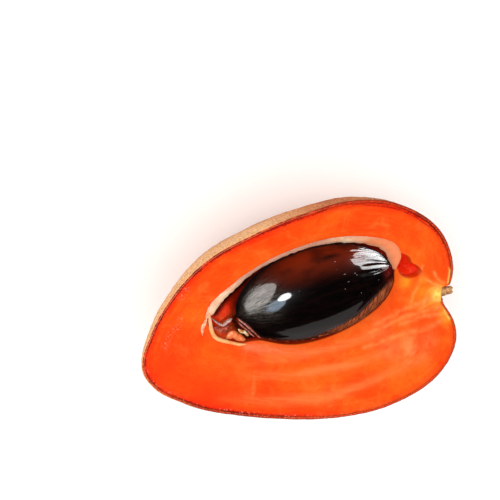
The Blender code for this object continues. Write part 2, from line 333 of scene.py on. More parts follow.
class Look:
    """A node material. Plain numbers go onto sockets, and sockets are linked."""

    def __init__(self, name, **settings):
        self.colour = None
        self.material = bpy.data.materials.new(name)
        self.material.use_nodes = True
        self.tree = self.material.node_tree
        self.shader = self.tree.nodes["Principled BSDF"]
        for title, value in settings.items():
            self.feed(self.shader.inputs[title.replace("_", " ")], value)

    def feed(self, socket, value):
        if isinstance(value, bpy.types.NodeSocket):
            self.tree.links.new(value, socket)
        elif value is not None:
            socket.default_value = value

    def node(self, kind, inputs, **properties):
        made = self.tree.nodes.new("ShaderNode" + kind)
        for title, value in properties.items():
            setattr(made, title, value)
        for title, value in inputs.items():
            self.feed(made.inputs[title], value)
        return made

    def mask(self, title):
        return self.node("Attribute", {}, attribute_name=title).outputs["Fac"]

    def vector(self, title):
        return self.node("Attribute", {}, attribute_name=title).outputs["Vector"]

    def place(self):
        return self.node("TexCoord", {}).outputs["Object"]

    def noise(self, size, detail=3.0, roughness=0.55, vector=None, stretch=None, distortion=0.0):
        """Noise from 0 to 1 with lumps of a size in the vector's own unit."""
        vector = vector or self.place()
        if stretch:
            vector = self.node("Mapping", {"Vector": vector, "Scale": stretch}).outputs["Vector"]
        inputs = {"Vector": vector, "Scale": 1 / size, "Detail": detail}
        inputs.update({"Roughness": roughness, "Distortion": distortion})
        return self.node("TexNoise", inputs).outputs["Fac"]

    def cells(self, size):
        return self.node("TexVoronoi", {"Vector": self.place(), "Scale": 1 / size}).outputs["Distance"]

    def band(self, value, low, high, out_low=0.0, out_high=1.0):
        """Maps low..high to out_low..out_high, smoothly and clamped."""
        inputs = {"Value": value, "From Min": low, "From Max": high, "To Min": out_low, "To Max": out_high}
        return self.node("MapRange", inputs, interpolation_type="SMOOTHSTEP").outputs["Result"]

    def math(self, operation, a, b, clamp=False):
        return self.node("Math", {0: a, 1: b}, operation=operation, use_clamp=clamp).outputs["Value"]

    def times(self, *values):
        total = values[0]
        for value in values[1:]:
            total = self.math("MULTIPLY", total, value)
        return total

    def plus(self, *values):
        total = values[0]
        for value in values[1:]:
            total = self.math("ADD", total, value)
        return total

    def mix(self, factor, a, b):
        """Goes from a to b. Each is a socket, four linear values or three screen values."""
        a, b = (linear(*each) if isinstance(each, tuple) and len(each) == 3 else each for each in (a, b))
        return self.node("Mix", {0: factor, 6: a, 7: b}, data_type="RGBA").outputs[2]

    def paint(self, colour, *shares):
        """Lays a colour over those before it, by the product of some shares. The first has no share."""
        self.colour = self.mix(self.times(*shares), self.colour, colour) if shares else colour

    def daub(self, colour, mask, share, texture, low, high, least=0.0):
        """Paints where a mask is, broken up by a texture: the least share at low and all of it at high."""
        self.paint(colour, self.mask(mask), self.band(texture, low, high, least, 1.0), share)

    def bump(self, height, distance, strength=1.0, normal=None):
        inputs = {"Height": height, "Distance": distance, "Strength": strength, "Normal": normal}
        return self.node("Bump", inputs).outputs["Normal"]

    def finish(self, roughness=None, normal=None):
        self.feed(self.shader.inputs["Base Color"], self.colour)
        self.feed(self.shader.inputs["Roughness"], roughness)
        self.feed(self.shader.inputs["Normal"], normal)
        return self.material


# Shapes of the fruit

def fruit_back(turn, level, inset):
    """Points of the rounded back for arrays of turns and levels. Level 0 is the cut and 1 the lowest."""
    direction = np.arctan2(FRUIT_WIDTH_SHARE * np.sin(turn), FRUIT_LENGTH_SHARE * np.cos(turn))
    heading = compass(direction)
    near_tip = np.maximum(0, np.cos(direction - TIP_DIRECTION)) ** 4
    exponent = ROUND_BACK + (POINTED_TIP - ROUND_BACK) * near_tip
    share = (1 - level**exponent) ** (1 / exponent)
    rim = smooth_loop(FRUIT_OUTLINE, np.degrees(direction))
    down = np.array((0, 0, -1.0))
    outer = heading * (rim * share)[..., None] + (FRUIT_DEPTH * level)[..., None] * down
    dimple = compass(DIMPLE_DIRECTION) * smooth_loop(FRUIT_OUTLINE, math.degrees(DIMPLE_DIRECTION))
    away = np.linalg.norm(outer - dimple, axis=-1) / DIMPLE_WIDTH
    hollow = DIMPLE_DEPTH * np.exp(-(away**DIMPLE_SHARPNESS))
    reach = (rim - inset) * share - hollow
    return heading * reach[..., None] + ((FRUIT_DEPTH - inset) * level)[..., None] * down


def back_levels(inset, flat_height, count, crowding):
    """Levels from the flat spot up to the cut, crowded towards the cut."""
    lowest = math.asin((CUT_HEIGHT - flat_height) / (FRUIT_DEPTH - inset))
    return np.sin(lowest * np.linspace(1, 0, count) ** crowding)[:, None]


def cavity_wall(turn, level):
    share = smooth_loop(CAVITY_SHARES, np.degrees(turn)) * np.sqrt(1 - level**2)
    x = CAVITY_HALF_LENGTH * share * np.cos(turn)
    y = CAVITY_HALF_WIDTH * share * np.sin(turn)
    return CAVITY_CENTRE + stacked(x, y, -CAVITY_DEPTH * level)


def crowded_turns():
    """Turns for the columns, closer together at the stem and at the pointed end."""
    even = np.linspace(0, 2 * math.pi, 2001)
    off_stem = np.degrees(np.minimum(even, 2 * math.pi - even))
    density = 1 + 1.3 * bell(off_stem, 22) + 0.6 * bell(180 - off_stem, 30)
    total = np.concatenate(((0,), np.cumsum(0.5 * (density[1:] + density[:-1]))))
    return np.interp(np.arange(COLUMNS) / COLUMNS, total / total[-1], even)


TURNS = crowded_turns()


# Features of the cut face, as points along each in the plane of the cut
STREAKS = (
    ((-32.4, -9.3), (1.3, -14.8), (37.4, -12.6)),
    ((-37.4, -13.2), (-0.3, -24.6), (45, -23.2)),
    ((-47.8, -22.9), (2.2, -36.2), (53.2, -30.4)),
)
SEAM = ((-27.2, -16.3), (-28.9, -22), (-30.2, -27.5))
PALE_UNDER_CAVITY = ((-28.5, -4.4), (-22, -7.2), (-14, -10.9), (-6, -13.2), (3, -14.2), (12, -14.2))
STEM_FIBRES = (
    ((58.5, -3.2), (54.2, 0.5), (51.0, 3.6), (50.0, 6.2), (50.9, 9.4)),
    ((50.6, 7.6), (49.8, 4.6), (47.4, 1.4), (45.2, -1.6), (43.4, -5.0)),
    ((58.0, -3.6), (54.6, -1.6), (51.6, -2.6), (49.6, -5.4), (48.4, -8.0)),
    ((57.6, -8.5), (54.0, -7.2), (50.5, -8.2), (46.0, -8.8)),
    ((59.0, -1.0), (56.4, 1.6), (55.2, 5.0)),
)
SALMON_STREAKS = (
    ((53.5, -5.4), (48.5, -6.4), (42.0, -7.0), (35.5, -8.2), (27.0, -10.6)),
    ((57.5, -10.5), (51.0, -10.8), (43.0, -10.6), (35.0, -11.8), (24.0, -13.6)),
    ((58.5, -13.6), (52.0, -13.4), (46.0, -12.8), (38.0, -13.8)),
    ((57.0, -17.0), (49.0, -18.4), (41.0, -18.2), (32.0, -18.6), (21.0, -19.6)),
)
# Where the yellow round the stem lies: x, y, reach and strength.
STEM_GLOW = (
    (56.0, -5.2, 4.4, 1.0), (53.4, -2.4, 3.6, 0.8), (53.6, -7.4, 3.6, 0.8), (49.4, -2.6, 5.2, 0.6),
    (42.3, 4.2, 3.0, 1.0), (50.4, 2.4, 2.4, 0.7), (57.2, -13.6, 3.2, 0.9), (58.4, -17.6, 2.6, 0.8),
)
STEM_CORE = (55.6, -5.2)
# Where the flesh is redder, and where a soft salmon patch lies: x, y, reach and strength.
RED_PLACES = ((-64, -5, 15, 0.9), (-47, -23, 17, 1.0), (-22, -34, 12, 0.6), (-54, 24, 8, 0.4))
SALMON_PATCHES = ((40, -25.5, 6.5, 0.9), (31, -22.5, 6.0, 0.5), (47, -24, 5.0, 0.6), (27, -13, 6.0, 0.4))
# How dark and how pink the rim of the flesh is, by direction in degrees.
RIM_DARK = (
    (0, 0.1), (12, 0.5), (24, 1.0), (36, 0.9), (50, 0.6), (75, 0.8), (100, 0.9), (150, 1.0), (176, 0.9),
    (192, 0.6), (215, 0.9), (240, 0.7), (262, 0.4), (300, 0.2), (360, 0.1),
)
RIM_PINK = (
    (0, 0), (150, 0), (172, 0.7), (200, 0.8), (240, 1.0), (275, 0.9), (300, 0.4), (320, 0), (360, 0),
)
# How strong the dark-red line a little inside the rim is, by direction in degrees.
INNER_LINE = ((0, 0), (14, 0.1), (22, 0.7), (30, 1.0), (44, 1.0), (56, 0.5), (68, 0.15), (80, 0), (360, 0))
YELLOW_EDGES = (((62.2, 4.4), (61.7, 2.0), (61.2, -1.2)), ((57.4, -11.4), (58.0, -13.8), (59.6, -17.4)))
# Wet spots on the cut face: glossier and a little raised, with pale painted glints on them.
WET_SPECKS_AND_PAINTED_GLINTS = (((-52.6, 15.5), (-54.2, 12), (-57.4, 10.3), (-60.9, 5.6)), ((-47.4, 27), (-50.5, 24)))
# A shallow dish below the pocket.
DISH_CENTRE = (43.6, 3.2)
DISH_REACH = 3.4
DISH_DEPTH = 0.9
# In the cavity's pointed end, as seen in the plane of the cut: painted shadow in the dark gaps under the
# lining and beside the seed, and the smooth red floor.
PAINTED_GAP_SHADOWS = (
    ((-21.1, 25.3), (-25.0, 22.6), (-28.7, 20.8), (-32.5, 18.4), (-35.4, 15.7), (-38.6, 12.9)),
    ((-30.5, 9.4), (-31.9, 7.6), (-30.0, 3.1), (-28.0, -0.4), (-24.6, -0.8)),
)
RED_FLOOR = ((-37.2, 11.8), (-34.0, 13.2), (-31.0, 16.2))


def flesh_grid():
    """The smooth grid of the flesh, and where each of its points lies."""
    inset = SKIN_THICKNESS - FLESH_OVERLAP
    back = fruit_back(TURNS[None, :], back_levels(inset, FLESH_FLAT_HEIGHT, BACK_ROWS, 1.8), inset)
    rim = back[-1]
    mouth = cavity_wall(TURNS, 0.0)
    even = np.linspace(0, 1, FACE_ROWS + 1)[1:-1]
    share = (0.45 * even + 0.55 * (0.5 - 0.5 * np.cos(math.pi * even)))[:, None, None]
    face = rim + (mouth - rim) * share
    wall = cavity_wall(TURNS[None, :], np.sin(CAVITY_FLOOR * np.linspace(0, 1, CAVITY_ROWS))[:, None])
    grid = np.concatenate((back, face, wall))

    at = SimpleNamespace()
    width = np.linalg.norm(mouth - rim, axis=-1)
    at.from_rim = blank(grid)
    at.from_rim[FIRST_FACE_ROW + 1:FIRST_WALL_ROW] = share[:, :, 0] * width
    at.from_rim[FIRST_WALL_ROW:] = width
    at.to_mouth = blank(grid)
    at.to_mouth[:FIRST_WALL_ROW] = width - at.from_rim[:FIRST_WALL_ROW]
    at.into_cavity = blank(grid)
    at.into_cavity[FIRST_WALL_ROW + 1:] = np.cumsum(np.linalg.norm(np.diff(wall, axis=0), axis=-1), axis=0)
    at.on_back = blank(grid)
    at.on_back[:FIRST_FACE_ROW] = 1
    at.on_face = blank(grid)
    at.on_face[FIRST_FACE_ROW:FIRST_WALL_ROW + 1] = 1
    return grid, at


def raise_ledges(grid):
    """Raises the torn flesh and the smooth shelf from the cavity's wall, and tells where each is."""
    bare_wall = grid[..., 2].copy()
    for x, y, lift, radius, top in LEDGES:
        share = bell(np.hypot(grid[..., 0] - x, grid[..., 1] - y), radius)
        share[:FIRST_WALL_ROW] = 0
        grid[..., 2] = np.maximum(grid[..., 2], np.minimum(bare_wall + lift * share, top))
        yield share


def pocket_shares(grid):
    """How deep the pocket is, with steep walls and a smooth floor, and where its edge runs."""
    off = grid[..., :2] - np.array(POCKET_CENTRE)
    turn = np.degrees(np.arctan2(off[..., 1], off[..., 0]))
    share = np.linalg.norm(off, axis=-1) / smooth_loop(POCKET_OUTLINE, turn)
    return 0.50 * step(1.03, 0.92, share) + 0.50 * step(0.95, 0.15, share), bell(share - 1.0, 0.09)


def stub_groove(grid):
    """Where the groove that the stub of the stem lies in is."""
    beside_stem = np.abs(grid @ compass(STEM_SIDE))
    return step(2.9, 2.1, beside_stem) * step(57.4, 58.4, grid @ compass(STEM_DIRECTION))


def flesh_marks(grid, at):
    """Shares of the marks on the cut face, and of the yellow round the stem without its edges."""
    wander = grid + 0.35 * noise(grid, 2.5, 31)[..., None]
    wander = wander + 0.7 * noise(grid, 3.2, 35)[..., None] * np.array((1, -0.6, 0))
    yellow_edge = strongest(wander, YELLOW_EDGES, 0.7) * (0.6 + 0.4 * noise(grid, 1.8, 39))
    stem_core = patches(wander, ((*STEM_CORE, 2.6, 1.0),))
    wet_and_painted_glints = blank(grid)
    for line in WET_SPECKS_AND_PAINTED_GLINTS:
        away, _ = path_distance(grid, line)
        wet_and_painted_glints = np.maximum(wet_and_painted_glints, bell(away, 1.2))
    glow = patches(wander, STEM_GLOW)
    marks = {
        "fibres": strongest(wander, STEM_FIBRES, 0.75) * (0.55 + 0.45 * noise(grid, 2.6, 37)),
        "salmon": strongest(wander, SALMON_STREAKS, 1.1),
        "salmon_patches": patches(wander, SALMON_PATCHES),
        "stem_zone": np.maximum(glow, yellow_edge),
        "stem_core": np.maximum(stem_core, 0.9 * yellow_edge),
        "wet_and_painted_glints": wet_and_painted_glints,
    }
    return {name: share * at.on_face for name, share in marks.items()}, glow * at.on_face


def flesh_relief(grid, at, flow, marks, glow, tear):
    """How far the flesh stands out: a gentle swell, fibres along the flow, granules, marks and tears."""
    relief = 0.22 * rough_noise(grid, 16.0, 2, 1) + 0.10 * rough_noise(flow, 2.2, 3, 5)
    relief += 0.05 * rough_noise(grid, 1.1, 2, 9)
    granules = bell(at.from_rim, 1.6) * at.on_face
    relief += granules * (0.16 * rough_noise(grid, 0.9, 2, 21) - 0.05)
    relief -= 0.35 * bell(at.from_rim, 0.35) * at.on_face
    relief *= 1 - at.on_face * (1 - step(0.4, 3.0, at.to_mouth))
    relief += 0.26 * marks["fibres"] + 0.14 * marks["salmon"]
    relief += 0.22 * glow * rough_noise(grid, 1.6, 2, 33)
    relief -= DISH_DEPTH * patches(grid, ((*DISH_CENTRE, DISH_REACH, 1.0),)) * at.on_face
    relief += 0.14 * marks["wet_and_painted_glints"] * noise(grid, 0.7, 41)
    relief[:FIRST_FACE_ROW] = 0
    relief += tear * 0.9 * rough_noise(grid, 2.4, 3, 51)
    return np.where(at.on_face > 0, np.minimum(relief, RELIEF_TOP), relief)


def streak_share(grid):
    """Where the long pale streaks and the short seam of the cut face are."""
    best = 0.6 * bell(path_distance(grid, SEAM)[0], 0.8)
    for line in STREAKS:
        away, along = path_distance(grid + 1.5 * noise(grid, 14.0, 61)[..., None], smooth_path(line, 12))
        best = np.maximum(best, bell(away, 2.2) * np.sin(math.pi * along))
    return best


def flesh_shape():
    """The grid of the flesh and the masks that its material reads."""
    grid, at = flesh_grid()
    ledge, shelf = raise_ledges(grid)
    tear = ledge * (at.into_cavity > 0)
    pocket, pocket_rim_painted_shade = (share * at.on_face for share in pocket_shares(grid))
    groove = stub_groove(grid) * at.on_face
    along_flow = at.from_rim + at.into_cavity - 0.5 * grid[..., 2] * at.on_back
    flow = stacked(6 * np.cos(TURNS), 6 * np.sin(TURNS), along_flow)
    marks, glow = flesh_marks(grid, at)
    relief = flesh_relief(grid, at, flow, marks, glow, tear)
    grid = grid + outward_normals(grid, BACK_ROWS // 2) * relief[..., None]
    grid[..., 2] -= POCKET_DEPTH * pocket + groove * STUB_AXIS_DROP
    grid[..., 2] = np.minimum(grid[..., 2], RELIEF_TOP)

    away, along = path_distance(grid, PALE_UNDER_CAVITY)
    off_line = at.from_rim - 1.7 - 0.5 * noise(grid, 5.0, 63)
    sight = grid[..., :2] - grid[..., 2:] * np.array(CAMERA_BACK[:2]) / CAMERA_BACK[2]
    in_cavity = step(0.3, 1.2, at.into_cavity)
    masks = {
        "from_rim": at.from_rim,
        "to_mouth": at.to_mouth,
        "into_cavity": at.into_cavity,
        "flow": flow,
        "pocket": pocket,
        "pocket_rim_painted_shade": pocket_rim_painted_shade,
        "pale": bell(away, 2.0) * step(0.8, 0.2, along) * at.on_face,
        "streaks": streak_share(grid),
        "red_places": patches(grid, RED_PLACES) * at.on_face,
        "painted_gap_shadows": strongest(sight, PAINTED_GAP_SHADOWS, 1.15) * in_cavity,
        "red_floor": strongest(sight, (RED_FLOOR,), 3.6) * in_cavity,
        "shelf": shelf,
        "tear": tear,
        "rim_dark": by_direction(grid, RIM_DARK),
        "rim_pink": by_direction(grid, RIM_PINK),
        "dark_line": bell(off_line, 0.42) * by_direction(grid, INNER_LINE) * at.on_face,
    }
    return grid, masks | marks


def strongest(points, lines, width):
    """How near each point is to the nearest of some lines, from 1 on a line down to 0."""
    best = np.zeros(points.shape[:-1])
    for line in lines:
        away, _ = path_distance(points, smooth_path(line, 4 * len(line)))
        best = np.maximum(best, bell(away, width))
    return best


def patches(points, places):
    """The strongest of some soft round patches, each an x, a y, a reach and a strength."""
    best = np.zeros(points.shape[:-1])
    for x, y, reach, strength in places:
        away = np.hypot(points[..., 0] - x, points[..., 1] - y)
        best = np.maximum(best, strength * bell(away, reach))
    return best


def by_direction(grid, knots):
    degrees, values = np.array(knots, float).T
    return np.interp(direction_degrees(grid), degrees, values)


def flesh_look():
    look = Look(
        "flesh_look", IOR=1.40, Specular_IOR_Level=0.07, Coat_Weight=0.015, Coat_Roughness=0.22,
        Subsurface_Weight=0.2, Subsurface_Scale=0.003, Subsurface_Radius=(1.0, 0.25, 0.08),
    )
    flow = look.vector("flow")
    broad = look.noise(0.022, 3.0)
    streak = look.noise(1.7, 4.0, 0.6, flow)
    fine = look.noise(0.55, 3.0, 0.6, flow)
    mottle = look.noise(0.0026, 4.0, 0.6)
    look.paint((253, 76, 5))
    look.paint((255, 100, 14), look.band(broad, 0.38, 0.62))
    cloud = look.noise(0.0075, 4.0, 0.62, distortion=0.6)
    look.paint((255, 124, 46), look.band(cloud, 0.50, 0.68), 0.42)
    look.paint((250, 58, 3), look.band(cloud, 0.46, 0.32), 0.45)
    look.paint((248, 60, 4), look.band(mottle, 0.50, 0.70), 0.32)
    look.paint((255, 122, 44), look.band(streak, 0.50, 0.72), 0.24)
    look.paint((244, 60, 4), look.band(fine, 0.52, 0.75), 0.14)
    look.paint((252, 54, 2), look.mask("red_places"), 0.85)
    from_rim = look.mask("from_rim")
    wavy_rim = look.plus(from_rim, look.times(look.plus(look.noise(0.006), -0.5), 4.0))
    redness = look.band(look.mask("rim_dark"), 0.0, 1.0, 0.35, 0.80)
    look.paint((246, 34, 3), look.band(wavy_rim, 5.0, 0.0), redness)
    look.daub((255, 136, 70), "streaks", 0.65, streak, 0.3, 0.6, 0.4)
    mouth = look.band(look.mask("to_mouth"), 6.0, 0.0)
    look.paint((255, 104, 30), mouth, 0.25)
    look.daub((255, 156, 110), "pale", 0.48, look.noise(1.2, 3.0, 0.6, flow), 0.3, 0.6, 0.45)
    look.daub((255, 160, 34), "stem_zone", 0.85, look.noise(0.0035, 3.0), 0.3, 0.6, 0.6)
    look.daub((255, 150, 88), "salmon_patches", 0.7, cloud, 0.34, 0.60, 0.25)
    look.daub((255, 150, 80), "salmon", 0.55, look.noise(0.0028, 3.0), 0.3, 0.6, 0.35)
    look.daub((255, 176, 92), "fibres", 0.6, look.noise(0.002, 2.0), 0.3, 0.6, 0.45)
    look.daub((255, 232, 116), "stem_core", 0.95, look.noise(0.0016, 3.0), 0.34, 0.55, 0.45)
    # Dark-red granules between the skin and the flesh, and pink ones along the lower rim.
    grains = look.noise(0.0009, 2.0, 0.6)
    clumps = look.noise(0.006, 2.0)
    line = look.band(look.plus(from_rim, look.times(grains, -2.4)), 0.25, -0.35)
    line = look.times(line, look.mask("rim_dark"), look.band(clumps, 0.34, 0.54, 0.4, 1.0))
    look.paint((150, 12, 4), line)
    look.daub((176, 16, 3), "dark_line", 0.9, grains, 0.34, 0.50, 0.5)
    dots = look.times(look.band(look.cells(0.0012), 0.42, 0.22), look.band(look.noise(0.003), 0.42, 0.58))
    dots = look.times(dots, look.band(from_rim, 2.6, 0.3), look.mask("rim_pink"))
    look.paint((255, 138, 112), dots, 0.75)
    # Pale flecks on the wet spots: painted glints, on top of the real lower roughness there.
    look.daub((255, 186, 160), "wet_and_painted_glints", 0.4, look.noise(0.0007, 3.0), 0.52, 0.66)
    # The wall and floor of the cavity, deeper red and wet.
    deep = look.band(look.mask("into_cavity"), 0.4, 2.2)
    look.paint((240, 52, 20), deep, 0.95)
    look.paint((255, 52, 20), look.mask("shelf"), deep)
    look.paint((255, 50, 16), look.mask("red_floor"))
    look.daub((232, 120, 60), "tear", 1.0, look.noise(0.0016, 3.0), 0.3, 0.65)
    # Near-black painted shadow in the gaps under the lining's edge and beside the seed, placed where the
    # view looks into them.
    look.paint((26, 4, 2), look.mask("painted_gap_shadows"), 0.97)
    wrinkle = look.band(look.noise(0.0013, 3.0, distortion=0.8), 0.55, 0.72)
    inside = look.mix(look.times(wrinkle, 0.6), (255, 50, 14), (255, 128, 84))
    in_pocket = look.band(look.mask("pocket"), 0.12, 0.5)
    look.paint(inside, in_pocket, 0.97)
    # A dark-red ring round the pocket's rim: painted shade at the edge of the recess.
    look.paint((196, 20, 4), look.mask("pocket_rim_painted_shade"), 0.55)
    roughness = look.band(look.noise(0.0016, 2.0), 0.35, 0.65, 0.58, 0.42)
    roughness = look.plus(roughness, look.times(look.mask("wet_and_painted_glints"), -0.25))
    normal = look.bump(fine, 0.00016, 0.5)
    normal = look.bump(look.noise(0.0007, 3.0), 0.00022, 0.5, normal)
    return look.finish(roughness, normal)


def make_flesh():
    grid, masks = flesh_shape()
    piece = make_mesh("flesh_fine", grid, flesh_look(), masks, 60.0)
    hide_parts("flesh")


def skin_look():
    look = Look("skin_look", IOR=1.40, Specular_IOR_Level=0.2)
    broad = look.noise(0.016, 4.0)
    look.paint((206, 120, 68))
    look.paint((178, 98, 54), look.band(broad, 0.36, 0.62))
    blush = look.noise(0.030, 2.0)
    look.paint((206, 96, 58), look.band(blush, 0.50, 0.72), 0.55)
    look.daub((136, 118, 46), "olive", 0.8, look.noise(0.013, 4.0), 0.52, 0.70)
    # The upper part of the skin on the side facing the light, painted lighter as if lit.
    look.paint((250, 196, 142), look.mask("painted_lit_upper_side"), 0.8)
    fine = look.noise(0.0007, 3.0, 0.65)
    look.paint((132, 74, 38), look.band(fine, 0.49, 0.60), 0.6)
    look.paint((240, 186, 134), look.band(fine, 0.46, 0.36), 0.50)
    specks = look.cells(0.0021)
    speck = look.times(look.band(specks, 0.20, 0.10), look.band(look.noise(0.006), 0.45, 0.6))
    look.paint((246, 206, 160), speck, 0.7)
    cork = look.mix(look.band(fine, 0.4, 0.6), (150, 102, 62), (92, 58, 30))
    look.paint(cork, look.mask("cork"))
    # The cut through the skin: a thin brown line outside, then orange flesh colour with dark granules.
    grains = look.noise(0.0008, 2.0, 0.6)
    ring = look.plus(look.mask("ring"), look.times(look.plus(grains, -0.5), 0.7))
    dark = look.times(look.mask("rim_dark"), look.band(grains, 0.38, 0.56))
    inner = look.mix(dark, (244, 70, 18), (130, 14, 6))
    pink = look.times(look.mask("rim_pink"), look.band(look.cells(0.0011), 0.42, 0.25))
    inner = look.mix(look.times(pink, 0.7), inner, (250, 130, 100))
    # The outer line of the cut is painted lighter on that lit side too.
    outer = look.mix(look.mask("painted_lit_upper_side"), (140, 44, 18), (240, 176, 120))
    cut = look.mix(look.band(ring, 0.22, 0.50), outer, inner)
    look.paint(cut, look.mask("cut_edge"))
    normal = look.bump(fine, 0.0003, 0.8)
    normal = look.bump(specks, 0.0003, 0.35, normal)
    roughness = look.band(fine, 0.3, 0.7, 0.95, 0.72)
    return look.finish(roughness, normal)


def make_skin():
    outside = fruit_back(TURNS[None, :], back_levels(0.0, 0.0, SKIN_ROWS, 1.15), 0.0)
    ring_insets = np.linspace(0, SKIN_THICKNESS, SKIN_RING_ROWS + 2)[1:-1, None]
    ring = fruit_back(TURNS[None, :], np.zeros((1, 1)), ring_insets)
    inner_levels = back_levels(SKIN_THICKNESS, SKIN_THICKNESS, SKIN_INNER_ROWS, 1.6)[::-1]
    inside = fruit_back(TURNS[None, :], inner_levels, SKIN_THICKNESS)
    grid = np.concatenate((outside, ring, inside))
    on_outside = blank(grid)
    on_outside[:len(outside)] = 1
    on_edge = blank(grid)
    on_edge[len(outside) - 1:len(outside) + len(ring)] = 1
    normals = outward_normals(grid, len(outside) // 2)
    bumps = 0.10 * rough_noise(grid, 1.5, 3, 71) + 0.16 * rough_noise(grid, 9.0, 2, 75) - 0.30
    rim = smooth_loop(FRUIT_OUTLINE, math.degrees(DIMPLE_DIRECTION))
    dimple = compass(DIMPLE_DIRECTION) * (rim - DIMPLE_MARKS_INSET)
    near_stem = bell(np.linalg.norm(grid - dimple, axis=-1), WRINKLE_REACH)
    bumps += near_stem * (0.22 * rough_noise(grid, 2.4, 3, 79) - 0.15)
    above_table = step(0.0, 3.0, grid[..., 2] + CUT_HEIGHT)
    below_rim = step(0.0, 0.03, -grid[..., 2] / CUT_HEIGHT)
    grid = grid + normals * (bumps * on_outside * above_table * below_rim)[..., None]
    jagged = 0.16 * rough_noise(grid, 1.3, 2, 83) - 0.14
    grid[..., 2] += on_edge * jagged
    # The rim dips below the stub.
    notch = step(2.9, 2.2, np.abs(grid @ compass(STEM_SIDE)))
    notch = notch * step(54.0, 56.0, grid @ compass(STEM_DIRECTION))
    grid[..., 2] -= notch * np.maximum(0, grid[..., 2] + STUB_AXIS_DROP + STUB_RADIUS + 0.3)
    degrees = direction_degrees(grid)
    # Where the skin is painted lighter: its upper part on the side towards the light.
    painted_lit_upper_side = step(-24.0, -7.0, grid[..., 2]) * step(70, 110, degrees) * step(215, 185, degrees)
    ring_share = blank(grid)
    ring_share[len(outside):len(outside) + len(ring)] = ring_insets / SKIN_THICKNESS
    ring_share[len(outside) + len(ring):] = 1
    grid[..., :2] *= RIM_SHRINK
    masks = {
        "olive": bell(np.linalg.norm(grid - dimple, axis=-1), OLIVE_REACH),
        "painted_lit_upper_side": painted_lit_upper_side,
        "cork": bell(np.linalg.norm(grid - dimple, axis=-1), CORK_REACH),
        "cut_edge": on_edge,
        "ring": ring_share,
        "rim_dark": by_direction(grid, RIM_DARK),
        "rim_pink": by_direction(grid, RIM_PINK),
    }
    piece = make_mesh("skin_fine", grid, skin_look(), masks, 60.0)
    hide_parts("skin")


def direction_degrees(grid):
    return np.degrees(np.arctan2(grid[..., 1], grid[..., 0])) % 360


def seed_place(along, turn, radius):
    """Points of the seed in the row frame, from its own axis."""
    x, y, z = SEED_HALF_LENGTH * along, radius * np.cos(turn), radius * np.sin(turn)
    c, s = math.cos(SEED_TURN), math.sin(SEED_TURN)
    return SEED_CENTRE + stacked(x * c - y * s, x * s + y * c, z)


